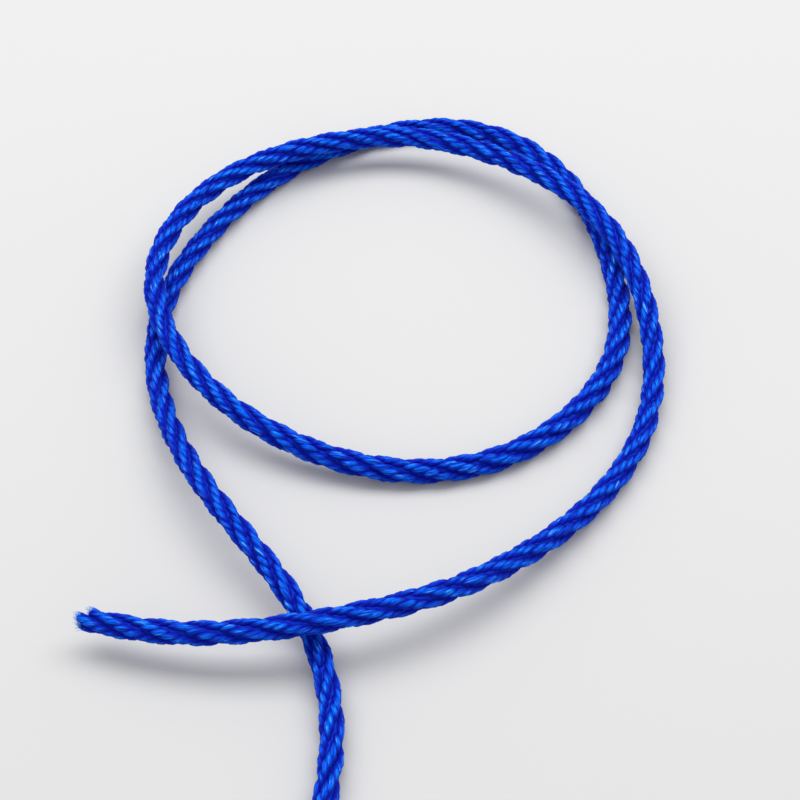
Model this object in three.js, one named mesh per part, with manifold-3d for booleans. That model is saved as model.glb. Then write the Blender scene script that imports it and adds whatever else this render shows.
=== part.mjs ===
// A cut length of twisted cord, lying on a flat surface in loose springy loops.
// Millimetres, +Z up, the surface at z = 0 and the origin under the middle of the cord's outline.
import * as THREE from "three";
import { NURBSCurve } from "three/addons/curves/NURBSCurve.js";
import { mergeVertices } from "three/addons/utils/BufferGeometryUtils.js";
import Module from "manifold-3d";

const CORD_DIAMETER = 4;
// How far the cord's own weight flattens its underside where it lies on the surface.
const FLAT_DEPTH = 0.15;
const REST_HEIGHT = CORD_DIAMETER / 2 - FLAT_DEPTH;
const SECTION_SIDES = 12;
const LENGTH_STEPS = 80;
const CURVE_DEGREE = 3;

// The cord's middle line. Each row holds x, y and how far the line lies above its resting height.
const ROUTE = [
  // the ragged cut end, carried clear of the surface by the crossing after it
  [-46, -21.75, 3.25],
  [-41.5, -23.25, 3.5],
  [-31.5, -25.75, 4.25],
  [-17.5, -25.75, 5.75],
  // over the stretch that leaves the loops, then down to the surface
  [-3, -23.25, 6.5],
  [10.5, -17.75, 4.5],
  [22, -9.25, 2],
  [32.5, 1, 0],
  [41, 13, 0],
  [45, 27.5, 0],
  // up over the second turn on the right, and along the back of it
  [44.5, 42, 2.25],
  [41, 55.5, 4.75],
  [33, 67.75, 5.25],
  [21, 77.25, 4.5],
  [7.5, 83.5, 3.75],
  [-6.5, 83.25, 3.75],
  [-21, 78, 4.5],
  [-33, 69, 4.5],
  [-40, 56, 4.5],
  [-40.5, 41.5, 4.75],
  // the second turn, off the crossing on the left and down to the surface at the front
  [-34, 27.5, 4.5],
  [-24, 16.75, 3.75],
  [-11, 10, 1.75],
  [3.5, 7.5, 0],
  [18, 10, 0],
  [30, 18.5, 0],
  [38.5, 31, 0],
  [40.5, 45, 0],
  [38.5, 60, 0],
  [34, 74.5, 0],
  [25, 86, 0],
  [11.5, 91, 0],
  [-3.5, 88, 0],
  [-16.5, 81, 0],
  [-26.5, 71, 0],
  [-34.5, 58.5, 0],
  [-39.5, 44.5, 0],
  // out of the loops towards the front, springing up in a long low arch, then under the free end
  [-39.5, 29.75, 0.25],
  [-35.25, 14.5, 2.5],
  [-28, 0.5, 4.5],
  [-19.75, -10.25, 4.25],
  [-11.5, -21.25, 1.75],
  [-7.5, -34.5, 0],
  [-8, -49.5, 0],
  [-11, -64, 0],
  [-16, -77, 0],
  [-21, -86, 0],
  [-24, -90.5, 0],
];

// A smooth curve that starts on the route's first point, ends on its last and is drawn towards the rest.
function cordLine() {
  const points = ROUTE.map(([x, y, lift]) => new THREE.Vector4(x, y, REST_HEIGHT + lift, 1));
  const spans = points.length - CURVE_DEGREE;
  const inner = Array.from({ length: spans + 1 }, (_, i) => i);
  const before = Array(CURVE_DEGREE).fill(0);
  const after = Array(CURVE_DEGREE).fill(spans);
  return new NURBSCurve(CURVE_DEGREE, [...before, ...inner, ...after], points);
}

function cordSection() {
  const corners = Array.from({ length: SECTION_SIDES }, (_, i) => {
    const angle = (2 * Math.PI * i) / SECTION_SIDES;
    return new THREE.Vector2(Math.cos(angle), Math.sin(angle)).multiplyScalar(CORD_DIAMETER / 2);
  });
  return new THREE.Shape(corners);
}

const wasm = await Module();
wasm.setup();

function toSolid(geometry) {
  const bare = geometry.clone();
  bare.deleteAttribute("normal");
  bare.deleteAttribute("uv");
  const merged = mergeVertices(bare);
  return new wasm.Manifold(
    new wasm.Mesh({
      numProp: 3,
      vertProperties: new Float32Array(merged.attributes.position.array),
      triVerts: new Uint32Array(merged.index.array),
    }),
  );
}

function toGeometry(solid) {
  const { vertProperties, triVerts } = solid.getMesh();
  const geometry = new THREE.BufferGeometry();
  geometry.setAttribute("position", new THREE.BufferAttribute(vertProperties, 3));
  geometry.setIndex(new THREE.BufferAttribute(triVerts, 1));
  geometry.computeVertexNormals();
  return geometry;
}

// Everything under the surface, as a block that the cord's underside is cut flat with.
function belowSurface(outline) {
  const size = outline.getSize(new THREE.Vector3());
  const middle = outline.getCenter(new THREE.Vector3());
  const block = new THREE.BoxGeometry(2 * size.x, 2 * size.y, 2 * CORD_DIAMETER);
  block.translate(middle.x, middle.y, -CORD_DIAMETER);
  return block;
}

function cord() {
  const tube = new THREE.ExtrudeGeometry(cordSection(), {
    steps: LENGTH_STEPS,
    extrudePath: cordLine(),
    bevelEnabled: false,
  });
  tube.computeBoundingBox();
  const resting = toSolid(tube).subtract(toSolid(belowSurface(tube.boundingBox)));
  const satinBlueNylon = new THREE.MeshStandardMaterial({
    color: 0x0a3fd0,
    roughness: 0.42,
    metalness: 0,
  });
  const mesh = new THREE.Mesh(toGeometry(resting), satinBlueNylon);
  mesh.name = "cord";
  return mesh;
}

const part = new THREE.Group();
part.add(cord());

export default part;
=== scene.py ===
import math

import bpy
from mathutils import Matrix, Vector


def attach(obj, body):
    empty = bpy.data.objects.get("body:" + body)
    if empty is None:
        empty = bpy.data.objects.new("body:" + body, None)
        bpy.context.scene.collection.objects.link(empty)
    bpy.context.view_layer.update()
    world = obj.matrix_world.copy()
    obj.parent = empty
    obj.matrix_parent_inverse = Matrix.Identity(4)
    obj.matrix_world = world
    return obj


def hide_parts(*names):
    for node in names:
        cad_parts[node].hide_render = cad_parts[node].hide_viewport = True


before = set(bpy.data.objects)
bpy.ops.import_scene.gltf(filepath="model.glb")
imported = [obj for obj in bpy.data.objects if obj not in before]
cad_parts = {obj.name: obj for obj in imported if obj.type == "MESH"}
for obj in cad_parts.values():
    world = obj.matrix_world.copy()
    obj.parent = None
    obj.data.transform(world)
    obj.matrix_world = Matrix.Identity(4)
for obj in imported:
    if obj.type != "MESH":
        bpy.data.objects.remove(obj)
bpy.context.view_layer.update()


# The camera. It stands in front of the loops and looks down on them at 50 degrees, from a third of
# a metre away with a long lens, so the cord looks only a little thicker towards the front.
AIMED_AT = Vector((0.002, 0.025, 0))
CAMERA_DISTANCE = 0.3333
CAMERA_ELEVATION = math.radians(50)
LENS_MM = 90
SENSOR_MM = 36
CLIP_START = 0.01

camera_data = bpy.data.cameras.new("camera")
camera_data.lens = LENS_MM
camera_data.sensor_width = SENSOR_MM
camera_data.clip_start = CLIP_START
camera = bpy.data.objects.new("camera", camera_data)
towards_camera = Vector((0, -math.cos(CAMERA_ELEVATION), math.sin(CAMERA_ELEVATION)))
camera.location = AIMED_AT + CAMERA_DISTANCE * towards_camera
camera.rotation_euler = towards_camera.to_track_quat("Z", "Y").to_euler()
bpy.context.collection.objects.link(camera)
bpy.context.scene.camera = camera


# The cord's middle line. The cord comes off a reel, so it springs back into open loops. Its free
# end lies over the stretch that leaves them, and the first turn over the second.
CORD_DIAMETER = 0.004
# How far the cord's own weight flattens its underside where it lies on the surface.
FLAT_DEPTH = 0.00015
REST_HEIGHT = CORD_DIAMETER / 2 - FLAT_DEPTH
# Each row holds x, y and how far the line lies above its resting height.
ROUTE = [
    # the ragged cut end, carried clear of the surface by the crossing after it
    (-0.046, -0.02175, 0.00325),
    (-0.0415, -0.02325, 0.0035),
    (-0.0315, -0.02575, 0.00425),
    (-0.0175, -0.02575, 0.00575),
    # over the stretch that leaves the loops, then down to the surface
    (-0.003, -0.02325, 0.0065),
    (0.0105, -0.01775, 0.0045),
    (0.022, -0.00925, 0.002),
    (0.0325, 0.001, 0),
    (0.041, 0.013, 0),
    (0.045, 0.0275, 0),
    # up over the second turn on the right, and along the back of it
    (0.0445, 0.042, 0.00225),
    (0.041, 0.0555, 0.00475),
    (0.033, 0.06775, 0.00525),
    (0.021, 0.07725, 0.0045),
    (0.0075, 0.0835, 0.00375),
    (-0.0065, 0.08325, 0.00375),
    (-0.021, 0.078, 0.0045),
    (-0.033, 0.069, 0.0045),
    (-0.04, 0.056, 0.0045),
    (-0.0405, 0.0415, 0.00475),
    # the second turn, off the crossing on the left and down to the surface at the front
    (-0.034, 0.0275, 0.0045),
    (-0.024, 0.01675, 0.00375),
    (-0.011, 0.01, 0.00175),
    (0.0035, 0.0075, 0),
    (0.018, 0.01, 0),
    (0.03, 0.0185, 0),
    (0.0385, 0.031, 0),
    (0.0405, 0.045, 0),
    (0.0385, 0.06, 0),
    (0.034, 0.0745, 0),
    (0.025, 0.086, 0),
    (0.0115, 0.091, 0),
    (-0.0035, 0.088, 0),
    (-0.0165, 0.081, 0),
    (-0.0265, 0.071, 0),
    (-0.0345, 0.0585, 0),
    (-0.0395, 0.0445, 0),
    # out of the loops towards the front, springing up in a long low arch, then under the free end
    (-0.0395, 0.02975, 0.00025),
    (-0.03525, 0.0145, 0.0025),
    (-0.028, 0.0005, 0.0045),
    (-0.01975, -0.01025, 0.00425),
    (-0.0115, -0.02125, 0.00175),
    (-0.0075, -0.0345, 0),
    (-0.008, -0.0495, 0),
    (-0.011, -0.064, 0),
    (-0.016, -0.077, 0),
    (-0.021, -0.086, 0),
    (-0.024, -0.0905, 0),
]
# A cubic curve, drawn with this many points for each row of the route.
CURVE_ORDER = 4
POINTS_PER_SPAN = 24
# In these rows, at the front of the second turn, the lay has opened and the cord is thicker.
OPEN_ROWS = range(22, 28)
OPEN_THICKNESS = 1.08

line_data = bpy.data.curves.new("middle_line", "CURVE")
line_data.dimensions = "3D"
line_data.resolution_u = POINTS_PER_SPAN
spline = line_data.splines.new("NURBS")
spline.points.add(len(ROUTE) - 1)
for row, (point, (x, y, lift)) in enumerate(zip(spline.points, ROUTE)):
    point.co = (x, y, REST_HEIGHT + lift, 1)
    point.radius = OPEN_THICKNESS if row in OPEN_ROWS else 1
spline.order_u = CURVE_ORDER
spline.use_endpoint_u = True
middle_line = bpy.data.objects.new("middle_line", line_data)
bpy.context.collection.objects.link(middle_line)


def evaluated_mesh(maker):
    """What an object shows, with its modifiers, as a plain mesh."""
    shown = maker.evaluated_get(bpy.context.evaluated_depsgraph_get())
    return bpy.data.meshes.new_from_object(shown)


route_mesh = evaluated_mesh(middle_line)
bpy.data.meshes.remove(route_mesh)


# The yarn: continuous nylon filament, dyed royal blue in the melt. Its smooth filaments lie side by
# side, so light comes back in satin streaks. On top of that, light and shade are painted into the
# colour: a painted highlight in azure where the yarns come to the outside, and painted shade in
# navy in the grooves.
def linear(hex_colour):
    """A colour written as sRGB hex, as the linear values that Blender mixes."""
    channels = [int(hex_colour[i:i + 2], 16) / 255 for i in (1, 3, 5)]
    return [c / 12.92 if c <= 0.04045 else ((c + 0.055) / 1.055) ** 2.4 for c in channels] + [1]


def add_node(tree, kind, inputs=None, **settings):
    """Adds a node with its settings. inputs gives a socket, by its name or number, a value or the
    output that feeds it. Numbers are used where several sockets have the same name."""
    node = tree.nodes.new(kind)
    for name, value in settings.items():
        setattr(node, name, value)
    for key, value in (inputs or {}).items():
        if isinstance(value, bpy.types.NodeSocket):
            tree.links.new(value, node.inputs[key])
        else:
            node.inputs[key].default_value = value
    return node


# Painted light in azure, painted shade in navy, and the paler blue of painted glints. The edge blue
# is the tint of the shine at grazing angles.
PAINTED_LIGHT_AZURE = "#0568ec"
PAINTED_SHADE_NAVY = "#101da5"
PAINTED_GLINT_BLUE = "#6ab8ff"
EDGE_BLUE = "#2878e6"
NYLON_IOR = 1.53
# The dye stains most of the light that comes back, as a metal does, and little of it stays white.
STAINED_SHARE = 0.5
WHITE_SHARE = 0.15
# How well the filaments lie in line, which draws the shine out across them.
FILAMENTS_IN_LINE = 0.65
GROOVE_ROUGHNESS = 0.55
CROWN_ROUGHNESS = 0.34
YARN_RADIUS = 0.00045
# Filaments are about 0.03 mm thick, too fine to show, so one streak stands for eight of them.
STREAK_WIDTH = 0.00026
STREAK_LENGTH = 0.0022
STREAK_RELIEF = 0.00025
STREAK_BUMP = 0.8
STREAK_DETAIL = 2.0
STREAK_FINENESS = 0.6
# The values of the streak noise that give the darkest and lightest streaks, and the first and
# full painted glint of a filament. The darkest streak still keeps a tenth of the painted azure
# light where the yarns come to the outside.
DARK_STREAK, LIGHT_STREAK = 0.38, 0.56
FIRST_GLINT, FULL_GLINT = 0.60, 0.74
DARK_STREAK_AZURE = 0.1

nylon_yarn = bpy.data.materials.new("nylon_filament_yarn")
nylon_yarn.use_nodes = True
tree = nylon_yarn.node_tree
shader = tree.nodes["Principled BSDF"]
fibre = add_node(tree, "ShaderNodeAttribute", attribute_name="fibre")
yarn_number = add_node(tree, "ShaderNodeAttribute", attribute_name="yarn_number")
crown = add_node(tree, "ShaderNodeAttribute", attribute_name="crown")
loose = add_node(tree, "ShaderNodeAttribute", attribute_name="loose")
streak_scale = (YARN_RADIUS / STREAK_WIDTH, YARN_RADIUS / STREAK_WIDTH, 1 / STREAK_LENGTH)
streak_at = add_node(tree, "ShaderNodeVectorMath", {
    0: fibre.outputs["Vector"], 1: streak_scale,
}, operation="MULTIPLY")
streaks = add_node(tree, "ShaderNodeTexNoise", {
    "Vector": streak_at.outputs[0], "W": yarn_number.outputs["Fac"],
    "Scale": 1.0, "Detail": STREAK_DETAIL, "Roughness": STREAK_FINENESS,
}, noise_dimensions="4D")
streak_light = add_node(tree, "ShaderNodeMapRange", {
    "Value": streaks.outputs[0], "From Min": DARK_STREAK, "From Max": LIGHT_STREAK,
    "To Min": DARK_STREAK_AZURE,
})
lit = add_node(tree, "ShaderNodeMath", {
    0: streak_light.outputs[0], 1: crown.outputs["Fac"],
}, operation="MULTIPLY")
# Painted light and shade: azure where the mask is high, navy, a painted shade, in the grooves and
# in the dark streaks.
painted_shading = add_node(tree, "ShaderNodeMix", {
    0: lit.outputs[0], 6: linear(PAINTED_SHADE_NAVY), 7: linear(PAINTED_LIGHT_AZURE),
}, data_type="RGBA")
# Painted glints: single filaments that stand out where the yarns come to the outside, and the cut
# ones at the tips, are painted a paler blue for the light they catch.
glint = add_node(tree, "ShaderNodeMapRange", {
    "Value": streaks.outputs[0], "From Min": FIRST_GLINT, "From Max": FULL_GLINT,
})
crown_painted_glint = add_node(tree, "ShaderNodeMath", {
    0: glint.outputs[0], 1: crown.outputs["Fac"],
}, operation="MULTIPLY")
painted_glint = add_node(tree, "ShaderNodeMath", {
    0: crown_painted_glint.outputs[0], 1: loose.outputs["Fac"],
}, operation="MAXIMUM")
colour = add_node(tree, "ShaderNodeMix", {
    0: painted_glint.outputs[0], 6: painted_shading.outputs[2], 7: linear(PAINTED_GLINT_BLUE),
}, data_type="RGBA")
gloss = add_node(tree, "ShaderNodeMapRange", {
    "Value": lit.outputs[0], "To Min": GROOVE_ROUGHNESS, "To Max": CROWN_ROUGHNESS,
})
relief = add_node(tree, "ShaderNodeBump", {
    "Strength": STREAK_BUMP, "Distance": STREAK_RELIEF, "Height": streaks.outputs[0],
})
# The shine spreads across the filaments and stays narrow along them.
fibre_way = add_node(tree, "ShaderNodeAttribute", attribute_name="fibre_way")
facing = add_node(tree, "ShaderNodeNewGeometry")
across = add_node(tree, "ShaderNodeVectorMath", {
    0: facing.outputs["Normal"], 1: fibre_way.outputs["Vector"],
}, operation="CROSS_PRODUCT")
tree.links.new(colour.outputs[2], shader.inputs["Base Color"])
tree.links.new(gloss.outputs[0], shader.inputs["Roughness"])
tree.links.new(relief.outputs[0], shader.inputs["Normal"])
tree.links.new(across.outputs[0], shader.inputs["Tangent"])
shader.inputs["Anisotropic"].default_value = FILAMENTS_IN_LINE
shader.inputs["IOR"].default_value = NYLON_IOR
shader.inputs["Metallic"].default_value = STAINED_SHARE
shader.inputs["Specular IOR Level"].default_value = WHITE_SHARE
shader.inputs["Specular Tint"].default_value = linear(EDGE_BLUE)


def new_tree(name, sockets, result):
    """An empty node tree with these inputs and one geometry output, and what its inputs give."""
    tree = bpy.data.node_groups.new(name, "GeometryNodeTree")
    for socket, kind in sockets.items():
        tree.interface.new_socket(socket, in_out="INPUT", socket_type="NodeSocket" + kind)
    tree.interface.new_socket(result, in_out="OUTPUT", socket_type="NodeSocketGeometry")
    return tree, add_node(tree, "NodeGroupInput").outputs


# Twisting: a laying machine turns several members round one line, so each runs in a screw at the
# same distance from it. In use they shift a little, and scissors cut them off on the slant, on
# both ends. "Cut turn" says which side is longest there, in turns round the line.
WANDER_DETAIL = 1.0

twist, given = new_tree("twist_together", {
    "Line": "Geometry", "Members": "Int", "Lay": "Float", "Middle radius": "Float",
    "Unevenness": "Float", "Uneven length": "Float", "Slant of cut": "Float", "Cut turn": "Float",
    "Seed": "Int",
}, "Lines")
along = add_node(twist, "GeometryNodeSplineParameter").outputs
members = add_node(twist, "GeometryNodeDuplicateElements", {
    "Geometry": given["Line"], "Amount": given["Members"],
}, domain="SPLINE")
turns = add_node(twist, "ShaderNodeMath", {0: along["Length"], 1: given["Lay"]}, operation="DIVIDE")
share = add_node(twist, "ShaderNodeMath", {
    0: members.outputs["Duplicate Index"], 1: given["Members"],
}, operation="DIVIDE")
even_turns = add_node(twist, "ShaderNodeMath", {
    0: turns.outputs[0], 1: share.outputs[0],
}, operation="ADD")
uneven_at = add_node(twist, "ShaderNodeMath", {
    0: along["Length"], 1: given["Uneven length"],
}, operation="DIVIDE")
member_number = add_node(twist, "GeometryNodeFieldOnDomain", {
    0: add_node(twist, "GeometryNodeInputIndex").outputs[0],
}, data_type="INT", domain="CURVE")
wander_at = add_node(twist, "ShaderNodeCombineXYZ", {
    "X": uneven_at.outputs[0], "Y": member_number.outputs[0], "Z": given["Seed"],
})
wander = add_node(twist, "ShaderNodeTexNoise", {
    "Vector": wander_at.outputs[0], "Scale": 1.0, "Detail": WANDER_DETAIL,
})
shift = add_node(twist, "ShaderNodeMath", {
    0: wander.outputs[0], 1: given["Unevenness"],
}, operation="MULTIPLY")
all_turns = add_node(twist, "ShaderNodeMath", {
    0: even_turns.outputs[0], 1: shift.outputs[0],
}, operation="ADD")
angle = add_node(twist, "ShaderNodeMath", {
    0: all_turns.outputs[0], 1: math.tau,
}, operation="MULTIPLY")
outward = add_node(twist, "ShaderNodeVectorRotate", {
    "Vector": add_node(twist, "GeometryNodeInputNormal").outputs[0],
    "Axis": add_node(twist, "GeometryNodeInputTangent").outputs[0],
    "Angle": angle.outputs[0],
})
line_thickness = add_node(twist, "GeometryNodeInputRadius").outputs[0]
reach = add_node(twist, "ShaderNodeMath", {
    0: given["Middle radius"], 1: line_thickness,
}, operation="MULTIPLY")
offset = add_node(twist, "ShaderNodeVectorMath", {
    0: outward.outputs[0], "Scale": reach.outputs[0],
}, operation="SCALE")
laid = add_node(twist, "GeometryNodeSetPosition", {
    "Geometry": members.outputs[0], "Offset": offset.outputs[0],
})
cut_share = add_node(twist, "ShaderNodeMath", {
    0: share.outputs[0], 1: given["Cut turn"],
}, operation="ADD")
side = add_node(twist, "ShaderNodeMath", {
    0: cut_share.outputs[0], 1: math.tau,
}, operation="MULTIPLY")
slant = add_node(twist, "ShaderNodeMath", {0: side.outputs[0]}, operation="COSINE")
missing = add_node(twist, "ShaderNodeMapRange", {
    "Value": slant.outputs[0], "From Min": -1.0, "From Max": 1.0,
    "To Min": given["Slant of cut"], "To Max": 0.0,
})
whole = add_node(twist, "GeometryNodeSplineLength").outputs["Length"]
far_cut = add_node(twist, "ShaderNodeMath", {
    0: whole, 1: missing.outputs[0],
}, operation="SUBTRACT")
# Sockets 4 and 5 are the lengths at which the line starts and ends.
cut = add_node(twist, "GeometryNodeTrimCurve", {
    0: laid.outputs[0], 4: missing.outputs[0], 5: far_cut.outputs[0],
}, mode="LENGTH")
add_node(twist, "NodeGroupOutput", {0: cut.outputs[0]})


# The tips. Each cut yarn lets go of its filaments there, and they spread into a short thin brush.
# They are drawn three times as thick as real ones and in smaller number, so that they show.
ROOTED_SHARE = 0.4
CURL_SCALE = 1.4
CURL_DETAIL = 1.0
# Filament lengths are shares of "Length", from stubs to a few that stick out.
SHORTEST_SHARE, LONGEST_SHARE = 0.35, 1.3
FILAMENT_POINTS = 5
FILAMENT_SIDES = 3

tips, given = new_tree("loose_filaments", {
    "Yarns": "Geometry", "Filaments": "Int", "Length": "Float", "Spread": "Float",
    "Yarn radius": "Float", "Radius": "Float", "Tip radius": "Float", "Curl": "Float",
    "Seed": "Int",
}, "Brushes")
index = add_node(tips, "GeometryNodeInputIndex").outputs[0]
ends = add_node(tips, "GeometryNodeCurveToPoints", {
    "Curve": given["Yarns"], "Count": 2,
}, mode="COUNT")
first_or_last = add_node(tips, "ShaderNodeMath", {0: index, 1: 2.0}, operation="MODULO")
out_sign = add_node(tips, "ShaderNodeMapRange", {
    "Value": first_or_last.outputs[0], "To Min": -1.0, "To Max": 1.0,
})
out_of_yarn = add_node(tips, "ShaderNodeVectorMath", {
    0: ends.outputs["Tangent"], "Scale": out_sign.outputs[0],
}, operation="SCALE")
marked = add_node(tips, "GeometryNodeCaptureAttribute", {
    "Geometry": ends.outputs[0],
}, domain="POINT")
marked.capture_items.new("VECTOR", "out")
tips.links.new(out_of_yarn.outputs[0], marked.inputs[1])
many = add_node(tips, "GeometryNodeDuplicateElements", {
    "Geometry": marked.outputs[0], "Amount": given["Filaments"],
}, domain="POINT")
root = add_node(tips, "FunctionNodeRandomValue", {
    0: (-1, -1, -1), 1: (1, 1, 1), "ID": index, "Seed": given["Seed"],
}, data_type="FLOAT_VECTOR")
root_offset = add_node(tips, "ShaderNodeVectorMath", {
    0: root.outputs[0], "Scale": given["Yarn radius"],
}, operation="SCALE")
rooted = add_node(tips, "GeometryNodeSetPosition", {
    "Geometry": many.outputs[0], "Offset": root_offset.outputs[0],
})
next_seed = add_node(tips, "ShaderNodeMath", {0: given["Seed"], 1: 1.0}, operation="ADD")
lean = add_node(tips, "FunctionNodeRandomValue", {
    0: (-1, -1, -1), 1: (1, 1, 1), "ID": index, "Seed": next_seed.outputs[0],
}, data_type="FLOAT_VECTOR")
leaning = add_node(tips, "ShaderNodeVectorMath", {
    0: lean.outputs[0], "Scale": given["Spread"],
}, operation="SCALE")
points_to = add_node(tips, "ShaderNodeVectorMath", {
    0: marked.outputs[1], 1: leaning.outputs[0],
}, operation="ADD")
turned = add_node(tips, "FunctionNodeAlignRotationToVector", {
    "Vector": points_to.outputs[0],
}, axis="Z")
# One filament of length 1, with its root inside the yarn.
straight = add_node(tips, "GeometryNodeCurvePrimitiveLine", {
    "Start": (0, 0, -ROOTED_SHARE), "End": (0, 0, 1),
})
jointed = add_node(tips, "GeometryNodeResampleCurve", {
    "Curve": straight.outputs[0], "Count": FILAMENT_POINTS,
})
length_share = add_node(tips, "FunctionNodeRandomValue", {
    2: SHORTEST_SHARE, 3: LONGEST_SHARE, "ID": index, "Seed": given["Seed"],
}, data_type="FLOAT")
length = add_node(tips, "ShaderNodeMath", {
    0: length_share.outputs[1], 1: given["Length"],
}, operation="MULTIPLY")
placed = add_node(tips, "GeometryNodeInstanceOnPoints", {
    "Points": rooted.outputs[0], "Instance": jointed.outputs[0],
    "Rotation": turned.outputs[0], "Scale": length.outputs[0],
})
filaments = add_node(tips, "GeometryNodeRealizeInstances", {"Geometry": placed.outputs[0]})
outness = add_node(tips, "GeometryNodeSplineParameter").outputs["Factor"]
filament_number = add_node(tips, "GeometryNodeFieldOnDomain", {
    0: index,
}, data_type="INT", domain="CURVE")
curl_at = add_node(tips, "ShaderNodeCombineXYZ", {
    "X": outness, "Y": filament_number.outputs[0], "Z": given["Seed"],
})
curl = add_node(tips, "ShaderNodeTexNoise", {
    "Vector": curl_at.outputs[0], "Scale": CURL_SCALE, "Detail": CURL_DETAIL,
})
# Noise lies around a half in each direction, so this lets filaments curl to every side.
curl_way = add_node(tips, "ShaderNodeVectorMath", {
    0: curl.outputs["Color"], 1: (0.5, 0.5, 0.5),
}, operation="SUBTRACT")
curl_size = add_node(tips, "ShaderNodeMath", {
    0: outness, 1: given["Curl"],
}, operation="MULTIPLY")
curled_by = add_node(tips, "ShaderNodeVectorMath", {
    0: curl_way.outputs[0], "Scale": curl_size.outputs[0],
}, operation="SCALE")
curled = add_node(tips, "GeometryNodeSetPosition", {
    "Geometry": filaments.outputs[0], "Offset": curled_by.outputs[0],
})
kept_filament = add_node(tips, "GeometryNodeCaptureAttribute", {"Geometry": curled.outputs[0]})
for number, (kind, name, field) in enumerate((
    ("VECTOR", "way", add_node(tips, "GeometryNodeInputTangent").outputs[0]),
    ("FLOAT", "outness", outness),
    ("FLOAT", "number", filament_number.outputs[0]),
), start=1):
    kept_filament.capture_items.new(kind, name)
    tips.links.new(field, kept_filament.inputs[number])
taper = add_node(tips, "ShaderNodeMapRange", {
    "Value": outness, "To Min": given["Radius"], "To Max": given["Tip radius"],
})
section = add_node(tips, "GeometryNodeCurvePrimitiveCircle", {
    "Resolution": FILAMENT_SIDES, "Radius": 1.0,
})
brush = add_node(tips, "GeometryNodeCurveToMesh", {
    "Curve": kept_filament.outputs[0], "Profile Curve": section.outputs[0],
    "Scale": taper.outputs[0], "Fill Caps": True,
}).outputs[0]
# Stored for the yarn material: the filaments' direction, their outness, which paints them paler
# towards the tip as a painted glint, their number, and the full share of painted light.
for name, value, kind in (
    ("fibre_way", kept_filament.outputs[1], "FLOAT_VECTOR"),
    ("loose", kept_filament.outputs[2], "FLOAT"),
    ("yarn_number", kept_filament.outputs[3], "FLOAT"),
    ("crown", 1.0, "FLOAT"),
):
    brush = add_node(tips, "GeometryNodeStoreNamedAttribute", {
        "Geometry": brush, "Name": name, "Value": value,
    }, data_type=kind).outputs[0]
add_node(tips, "NodeGroupOutput", {0: brush})


# The cord: three yarns twisted to the left make a strand, and four strands laid to the right
# around a heart make the cord, so on the outside the yarns run almost along it again. Nothing is
# sewn or glued: the cord holds together by its twist.
STRANDS = 4
# One full turn of a strand round the cord takes this length. Yarns turn the other way, faster.
LAY = 0.0243
STRAND_MIDDLE_RADIUS = 0.00114
STRAND_RADIUS = 0.00085
STRAND_UNEVENNESS = 0.12
STRAND_UNEVEN_LENGTH = 0.02
STRAND_SLANT = 0.0021
# The side towards the camera is the longest at the cut.
STRAND_CUT_TURN = 0.16
YARNS = 3
YARN_LAY = -0.00525
YARN_MIDDLE_RADIUS = 0.00039
YARN_UNEVENNESS = 0.75
YARN_UNEVEN_LENGTH = 0.006
YARN_SLANT = 0.0006
# How far the yarns keep their own round shape in the strand: 1 all of it, 0 none of it.
YARN_ROUNDNESS = 0.75
HEART_RADIUS = 0.00125
# Painted light on the heart: it is given this share of the azure, standing in for light that passes
# through the strands, so the grooves stay blue to the bottom.
HEART_PAINTED_LIGHT = 0.15
HEART_TRIM = 0.0017
# Measured from the cord's middle line, where the yarns carry the full painted shade in navy and the
# full painted light in azure.
PAINTED_SHADE_WITHIN = 0.00166
PAINTED_LIGHT_BEYOND = 0.0019
YARN_STEPS = 1030
YARN_SIDES = 7
HEART_STEPS = 260
HEART_SIDES = 6
TIP_FILAMENTS = 22
TIP_LENGTH = 0.0008
TIP_SPREAD = 0.22
TIP_FILAMENT_RADIUS = 0.00005
TIP_FILAMENT_END = 0.00001
SEED = 3

lay_up, given = new_tree("lay_up_cord", {
    "Line": "Geometry", "Strands": "Int", "Lay": "Float", "Strand middle radius": "Float",
    "Strand radius": "Float", "Strand unevenness": "Float", "Strand uneven length": "Float",
    "Strand slant": "Float", "Strand cut turn": "Float", "Yarns": "Int", "Yarn lay": "Float",
    "Yarn middle radius": "Float", "Yarn radius": "Float", "Yarn unevenness": "Float",
    "Yarn uneven length": "Float", "Yarn slant": "Float", "Yarn roundness": "Float",
    "Yarn steps": "Int", "Yarn sides": "Int", "Heart radius": "Float", "Heart painted light": "Float",
    "Heart trim": "Float", "Heart steps": "Int", "Heart sides": "Int", "Painted shade within": "Float",
    "Painted light beyond": "Float", "Tip filaments": "Int", "Tip length": "Float", "Tip spread": "Float",
    "Tip filament radius": "Float", "Tip filament end": "Float", "Seed": "Int",
    "Material": "Material",
}, "Cord")
position = add_node(lay_up, "GeometryNodeInputPosition").outputs[0]
thickness = add_node(lay_up, "GeometryNodeInputRadius").outputs[0]
even = add_node(lay_up, "GeometryNodeResampleCurve", {
    "Curve": given["Line"], "Count": given["Yarn steps"],
})
cord_middle = add_node(lay_up, "GeometryNodeCaptureAttribute", {"Geometry": even.outputs[0]})
cord_middle.capture_items.new("VECTOR", "middle")
lay_up.links.new(position, cord_middle.inputs[1])
strands = add_node(lay_up, "GeometryNodeGroup", {
    "Line": cord_middle.outputs[0], "Members": given["Strands"], "Lay": given["Lay"],
    "Middle radius": given["Strand middle radius"], "Unevenness": given["Strand unevenness"],
    "Uneven length": given["Strand uneven length"], "Slant of cut": given["Strand slant"],
    "Cut turn": given["Strand cut turn"], "Seed": given["Seed"],
}, node_tree=twist)
strand_middle = add_node(lay_up, "GeometryNodeCaptureAttribute", {"Geometry": strands.outputs[0]})
strand_middle.capture_items.new("VECTOR", "middle")
lay_up.links.new(position, strand_middle.inputs[1])
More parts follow.
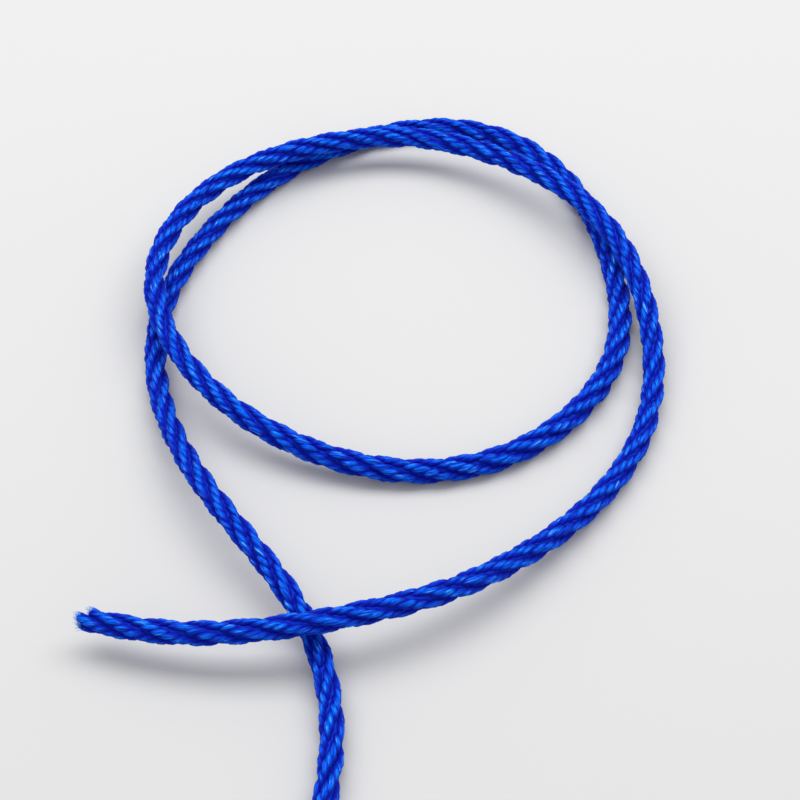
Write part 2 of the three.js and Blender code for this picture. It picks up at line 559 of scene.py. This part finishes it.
yarns = add_node(lay_up, "GeometryNodeGroup", {
    "Line": strand_middle.outputs[0], "Members": given["Yarns"], "Lay": given["Yarn lay"],
    "Middle radius": given["Yarn middle radius"], "Unevenness": given["Yarn unevenness"],
    "Uneven length": given["Yarn uneven length"], "Slant of cut": given["Yarn slant"],
    "Seed": given["Seed"],
}, node_tree=twist)

# Each yarn becomes a tube that knows its number, its filaments' direction and how far along it is.
along_yarn = add_node(lay_up, "GeometryNodeSplineParameter").outputs["Length"]
yarn_index = add_node(lay_up, "GeometryNodeFieldOnDomain", {
    0: add_node(lay_up, "GeometryNodeInputIndex").outputs[0],
}, data_type="INT", domain="CURVE")
kept_yarn = add_node(lay_up, "GeometryNodeCaptureAttribute", {"Geometry": yarns.outputs[0]})
for number, (kind, name, field) in enumerate((
    ("FLOAT", "along", along_yarn),
    ("VECTOR", "way", add_node(lay_up, "GeometryNodeInputTangent").outputs[0]),
    ("FLOAT", "number", yarn_index.outputs[0]),
    ("FLOAT", "thickness", thickness),
), start=1):
    kept_yarn.capture_items.new(kind, name)
    lay_up.links.new(field, kept_yarn.inputs[number])
ring = add_node(lay_up, "GeometryNodeCurvePrimitiveCircle", {
    "Resolution": given["Yarn sides"], "Radius": 1.0,
})
kept_ring = add_node(lay_up, "GeometryNodeCaptureAttribute", {"Geometry": ring.outputs[0]})
kept_ring.capture_items.new("VECTOR", "around")
lay_up.links.new(position, kept_ring.inputs[1])
yarn_reach = add_node(lay_up, "ShaderNodeMath", {
    0: given["Yarn radius"], 1: thickness,
}, operation="MULTIPLY")
cord_shape = add_node(lay_up, "GeometryNodeCurveToMesh", {
    "Curve": kept_yarn.outputs[0], "Profile Curve": kept_ring.outputs[0],
    "Scale": yarn_reach.outputs[0], "Fill Caps": True,
}).outputs[0]
down_the_yarn = add_node(lay_up, "ShaderNodeCombineXYZ", {"Z": kept_yarn.outputs[1]})
fibre_at = add_node(lay_up, "ShaderNodeVectorMath", {
    0: kept_ring.outputs[1], 1: down_the_yarn.outputs[0],
}, operation="ADD")
for name, value, kind in (
    ("fibre", fibre_at.outputs[0], "FLOAT_VECTOR"),
    ("fibre_way", kept_yarn.outputs[2], "FLOAT_VECTOR"),
    ("yarn_number", kept_yarn.outputs[3], "FLOAT"),
):
    cord_shape = add_node(lay_up, "GeometryNodeStoreNamedAttribute", {
        "Geometry": cord_shape, "Name": name, "Value": value,
    }, data_type=kind).outputs[0]

# Packed together, the yarns flatten against each other and the strand comes out nearly round.
from_strand = add_node(lay_up, "ShaderNodeVectorMath", {
    0: position, 1: strand_middle.outputs[1],
}, operation="SUBTRACT")
distance = add_node(lay_up, "ShaderNodeVectorMath", {
    0: from_strand.outputs[0],
}, operation="LENGTH")
strand_reach = add_node(lay_up, "ShaderNodeMath", {
    0: given["Strand radius"], 1: kept_yarn.outputs[4],
}, operation="MULTIPLY")
distance_share = add_node(lay_up, "ShaderNodeMath", {
    0: distance.outputs["Value"], 1: strand_reach.outputs[0],
}, operation="DIVIDE")
packed_share = add_node(lay_up, "ShaderNodeMath", {
    0: distance_share.outputs[0], 1: given["Yarn roundness"],
}, operation="POWER")
packing = add_node(lay_up, "ShaderNodeMath", {
    0: packed_share.outputs[0], 1: distance_share.outputs[0],
}, operation="DIVIDE")
packed_offset = add_node(lay_up, "ShaderNodeVectorMath", {
    0: from_strand.outputs[0], "Scale": packing.outputs[0],
}, operation="SCALE")
packed_at = add_node(lay_up, "ShaderNodeVectorMath", {
    0: strand_middle.outputs[1], 1: packed_offset.outputs[0],
}, operation="ADD")
packed = add_node(lay_up, "GeometryNodeSetPosition", {
    "Geometry": cord_shape, "Position": packed_at.outputs[0],
})
from_cord = add_node(lay_up, "ShaderNodeVectorMath", {
    0: position, 1: cord_middle.outputs[1],
}, operation="DISTANCE")
height = add_node(lay_up, "ShaderNodeMath", {
    0: from_cord.outputs["Value"], 1: kept_yarn.outputs[4],
}, operation="DIVIDE")
# The mask of painted light and shade: full navy near the cord's middle line, down in the grooves,
# and full azure where the yarns reach furthest out.
painted_light_share = add_node(lay_up, "ShaderNodeMapRange", {
    "Value": height.outputs[0],
    "From Min": given["Painted shade within"], "From Max": given["Painted light beyond"],
}, interpolation_type="SMOOTHSTEP")
light_painted = add_node(lay_up, "GeometryNodeStoreNamedAttribute", {
    "Geometry": packed.outputs[0], "Name": "crown", "Value": painted_light_share.outputs[0],
}, data_type="FLOAT")

brushes = add_node(lay_up, "GeometryNodeGroup", {
    "Yarns": yarns.outputs[0], "Filaments": given["Tip filaments"],
    "Length": given["Tip length"], "Spread": given["Tip spread"],
    "Yarn radius": given["Yarn middle radius"],
    "Radius": given["Tip filament radius"], "Tip radius": given["Tip filament end"],
    "Curl": given["Tip length"], "Seed": given["Seed"],
}, node_tree=tips)
line_length = add_node(lay_up, "GeometryNodeSplineLength").outputs["Length"]
heart_end = add_node(lay_up, "ShaderNodeMath", {
    0: line_length, 1: given["Heart trim"],
}, operation="SUBTRACT")
heart_line = add_node(lay_up, "GeometryNodeTrimCurve", {
    0: given["Line"], 4: given["Heart trim"], 5: heart_end.outputs[0],
}, mode="LENGTH")
heart_shape = add_node(lay_up, "GeometryNodeResampleCurve", {
    "Curve": heart_line.outputs[0], "Count": given["Heart steps"],
}).outputs[0]
# The heart carries its filaments' direction and a fixed share of painted light.
for name, value, kind in (
    ("fibre_way", add_node(lay_up, "GeometryNodeInputTangent").outputs[0], "FLOAT_VECTOR"),
    ("crown", given["Heart painted light"], "FLOAT"),
):
    heart_shape = add_node(lay_up, "GeometryNodeStoreNamedAttribute", {
        "Geometry": heart_shape, "Name": name, "Value": value,
    }, data_type=kind).outputs[0]
heart_ring = add_node(lay_up, "GeometryNodeCurvePrimitiveCircle", {
    "Resolution": given["Heart sides"], "Radius": 1.0,
})
heart_reach = add_node(lay_up, "ShaderNodeMath", {
    0: given["Heart radius"], 1: thickness,
}, operation="MULTIPLY")
heart = add_node(lay_up, "GeometryNodeCurveToMesh", {
    "Curve": heart_shape, "Profile Curve": heart_ring.outputs[0],
    "Scale": heart_reach.outputs[0], "Fill Caps": True,
})
together = add_node(lay_up, "GeometryNodeJoinGeometry")
for part in (heart, brushes, light_painted):
    lay_up.links.new(part.outputs[0], together.inputs[0])
# Nothing goes below the surface: the underside lies flat on it. Sideways the limit is a metre away.
on_surface = add_node(lay_up, "ShaderNodeVectorMath", {
    0: position, 1: (-1, -1, 0),
}, operation="MAXIMUM")
rested = add_node(lay_up, "GeometryNodeSetPosition", {
    "Geometry": together.outputs[0], "Position": on_surface.outputs[0],
})
smooth = add_node(lay_up, "GeometryNodeSetShadeSmooth", {
    "Geometry": rested.outputs[0], "Shade Smooth": True,
}, domain="FACE")
real = add_node(lay_up, "GeometryNodeRealizeInstances", {"Geometry": smooth.outputs[0]})
painted = add_node(lay_up, "GeometryNodeSetMaterial", {
    "Geometry": real.outputs[0], "Material": given["Material"],
})
add_node(lay_up, "NodeGroupOutput", {0: painted.outputs[0]})


def apply_tree(maker, tree, values):
    """Runs a node tree on an object with these inputs and returns its result as a plain mesh."""
    modifier = maker.modifiers.new(tree.name, "NODES")
    modifier.node_group = tree
    for item in tree.interface.items_tree:
        if item.in_out == "INPUT" and item.name in values:
            modifier[item.identifier] = values[item.name]
    mesh = evaluated_mesh(maker)
    maker.modifiers.remove(modifier)
    return mesh


cord_mesh = apply_tree(middle_line, lay_up, {
    "Strands": STRANDS, "Lay": LAY, "Strand middle radius": STRAND_MIDDLE_RADIUS,
    "Strand radius": STRAND_RADIUS, "Strand unevenness": STRAND_UNEVENNESS,
    "Strand uneven length": STRAND_UNEVEN_LENGTH, "Strand slant": STRAND_SLANT,
    "Strand cut turn": STRAND_CUT_TURN, "Yarns": YARNS, "Yarn lay": YARN_LAY,
    "Yarn middle radius": YARN_MIDDLE_RADIUS, "Yarn radius": YARN_RADIUS,
    "Yarn unevenness": YARN_UNEVENNESS, "Yarn uneven length": YARN_UNEVEN_LENGTH,
    "Yarn slant": YARN_SLANT,
    "Yarn roundness": YARN_ROUNDNESS, "Yarn steps": YARN_STEPS, "Yarn sides": YARN_SIDES,
    "Heart radius": HEART_RADIUS, "Heart painted light": HEART_PAINTED_LIGHT, "Heart trim": HEART_TRIM,
    "Heart steps": HEART_STEPS, "Heart sides": HEART_SIDES, "Painted shade within": PAINTED_SHADE_WITHIN,
    "Painted light beyond": PAINTED_LIGHT_BEYOND, "Tip filaments": TIP_FILAMENTS, "Tip length": TIP_LENGTH,
    "Tip spread": TIP_SPREAD,
    "Tip filament radius": TIP_FILAMENT_RADIUS, "Tip filament end": TIP_FILAMENT_END,
    "Seed": SEED, "Material": nylon_yarn,
})
laid_cord = bpy.data.objects.new("laid_cord", cord_mesh)
bpy.context.collection.objects.link(laid_cord)
bpy.data.objects.remove(middle_line)
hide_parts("cord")
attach(laid_cord, "root")


# The surface under the cord: plain white card with a dull face, so large that its edge lies
# outside the picture. It isn't part of the object.
CARD_WHITE = "#c6c6c6"
CARD_ROUGHNESS = 0.9
CARD_HALF = 1.5
# The card lies a hair below the cord's flat underside, so the two faces never coincide.
CARD_DROP = 0.00003
card_mesh = bpy.data.meshes.new("card")
card_mesh.from_pydata(
    [(x * CARD_HALF, y * CARD_HALF, -CARD_DROP) for x, y in ((-1, -1), (1, -1), (1, 1), (-1, 1))],
    [], [(0, 1, 2, 3)],
)
card = bpy.data.objects.new("card", card_mesh)
bpy.context.collection.objects.link(card)
white_card = bpy.data.materials.new("white_card")
white_card.use_nodes = True
card_shader = white_card.node_tree.nodes["Principled BSDF"]
card_shader.inputs["Base Color"].default_value = linear(CARD_WHITE)
card_shader.inputs["Roughness"].default_value = CARD_ROUGHNESS
card_shader.inputs["Specular IOR Level"].default_value = 0.0
card.data.materials.append(white_card)


# The light: one long soft box above and a little behind the loops, lying across the picture, in a
# pale room that fills the shadows.
BOX_WIDTH = 1.4
BOX_DEPTH = 0.36
BOX_DISTANCE = 0.62
BOX_TILT = math.radians(20)
BOX_POWER = 5.4
ROOM_STRENGTH = 0.73
soft_box_data = bpy.data.lights.new("soft_box", "AREA")
soft_box_data.shape = "RECTANGLE"
soft_box_data.size = BOX_WIDTH
soft_box_data.size_y = BOX_DEPTH
soft_box_data.energy = BOX_POWER
soft_box = bpy.data.objects.new("soft_box", soft_box_data)
towards_box = Vector((0, math.sin(BOX_TILT), math.cos(BOX_TILT)))
soft_box.location = AIMED_AT + BOX_DISTANCE * towards_box
soft_box.rotation_euler = towards_box.to_track_quat("Z", "Y").to_euler()
bpy.context.collection.objects.link(soft_box)
room = bpy.data.worlds.new("room")
room.use_nodes = True
room.node_tree.nodes["Background"].inputs["Color"].default_value = (1, 1, 1, 1)
room.node_tree.nodes["Background"].inputs["Strength"].default_value = ROOM_STRENGTH
bpy.context.scene.world = room
bpy.context.scene.view_settings.view_transform = "Standard"
